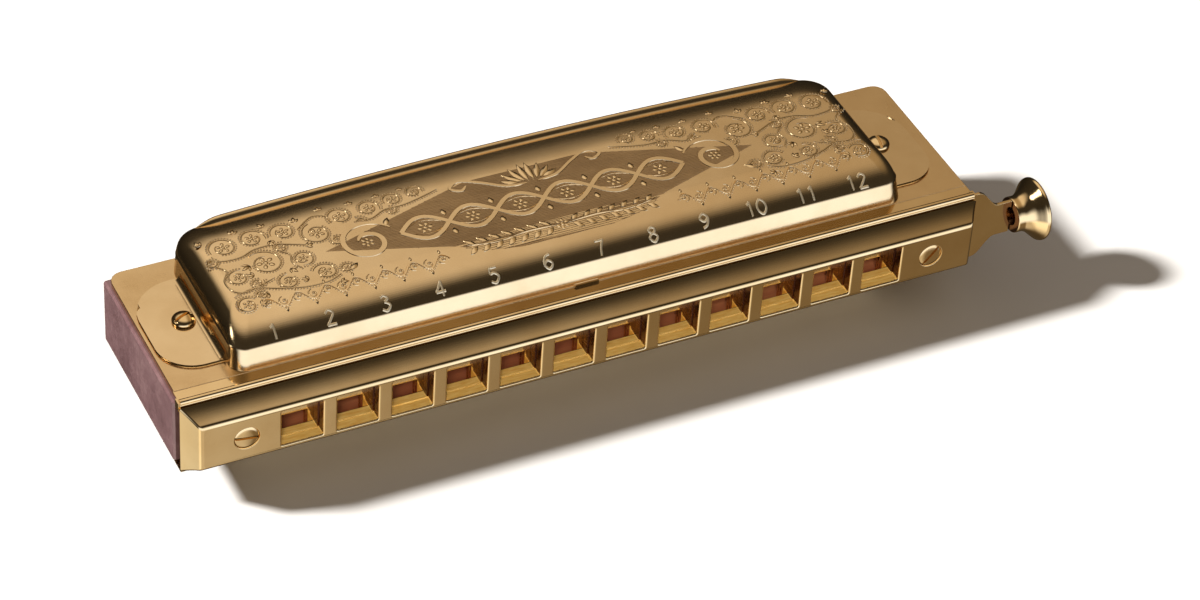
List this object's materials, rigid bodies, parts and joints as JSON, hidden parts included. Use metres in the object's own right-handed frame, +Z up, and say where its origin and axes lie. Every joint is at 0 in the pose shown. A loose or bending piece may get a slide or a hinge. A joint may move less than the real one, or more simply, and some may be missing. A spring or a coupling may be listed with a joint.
{
  "type": "chromatic harmonica",
  "caption": "Slide chromatic harmonica: wooden comb between brass reed plates, stamped covers, square-holed mouthpiece and a spring-returned slide with a flared push button.",
  "frame": {"origin": "centre of the flat crown of the bottom cover, on which the harmonica rests", "axes": "+X from hole 1 to hole 12 and out through the slide's button, -Y towards the player (mouthpiece), +Z up through the top cover"},
  "size_m": [0.1571, 0.0399, 0.029],
  "materials": {
    "satin_gold": "gold plated, polished",
    "bright_gold": "gold plated, bright",
    "plate_gold": "gold plated, satin",
    "stained_wood": "dark red-brown stain, satin lacquer",
    "reed_brass": "plain, filed",
    "spring_steel": "drawn wire",
    "sleeve_rubber": "matt"
  },
  "bodies": {
    "body": {"comb": "stained_wood", "top_reed_plate": "plate_gold", "bottom_reed_plate": "plate_gold", "top_cover": "satin_gold", "bottom_cover": "satin_gold", "top_draw_reed_01": "reed_brass", "top_draw_reed_02": "reed_brass", "top_draw_reed_03": "reed_brass", "top_draw_reed_04": "reed_brass", "top_draw_reed_05": "reed_brass", "top_draw_reed_06": "reed_brass", "top_draw_reed_07": "reed_brass", "top_draw_reed_08": "reed_brass", "top_draw_reed_09": "reed_brass", "top_draw_reed_10": "reed_brass", "top_draw_reed_11": "reed_brass", "top_draw_reed_12": "reed_brass", "bottom_draw_reed_01": "reed_brass", "bottom_draw_reed_02": "reed_brass", "bottom_draw_reed_03": "reed_brass", "bottom_draw_reed_04": "reed_brass", "bottom_draw_reed_05": "reed_brass", "bottom_draw_reed_06": "reed_brass", "bottom_draw_reed_07": "reed_brass", "bottom_draw_reed_08": "reed_brass", "bottom_draw_reed_09": "reed_brass", "bottom_draw_reed_10": "reed_brass", "bottom_draw_reed_11": "reed_brass", "bottom_draw_reed_12": "reed_brass", "top_plate_pin_1": "plate_gold", "top_plate_pin_2": "plate_gold", "top_plate_pin_3": "plate_gold", "top_plate_pin_4": "plate_gold", "top_plate_pin_5": "plate_gold", "top_plate_pin_6": "plate_gold", "top_plate_pin_7": "plate_gold", "top_plate_pin_8": "plate_gold", "bottom_plate_pin_1": "plate_gold", "bottom_plate_pin_2": "plate_gold", "bottom_plate_pin_3": "plate_gold", "bottom_plate_pin_4": "plate_gold", "bottom_plate_pin_5": "plate_gold", "bottom_plate_pin_6": "plate_gold", "bottom_plate_pin_7": "plate_gold", "bottom_plate_pin_8": "plate_gold", "cover_screw_left": "bright_gold", "cover_screw_right": "bright_gold", "cover_nut_left": "bright_gold", "cover_nut_right": "bright_gold", "mouthpiece": "bright_gold", "mouthpiece_screw_left": "bright_gold", "mouthpiece_screw_right": "bright_gold", "slide_channel": "bright_gold", "slide_back_plate": "plate_gold", "slide_spring": "spring_steel", "slide_bumper_left": "sleeve_rubber", "slide_bumper_right": "sleeve_rubber"},
    "slide": {"slide": "bright_gold", "slide_button": "bright_gold"}
  },
  "joints": [
    {"name": "button_slide", "type": "slide", "parent": "body", "child": "slide", "axis": [-1, 0, 0], "range_m": [0, 0.00475], "stiffness_N_per_m": 350, "springref_m": -0.005, "deforming": ["slide_spring"]}
  ]
}
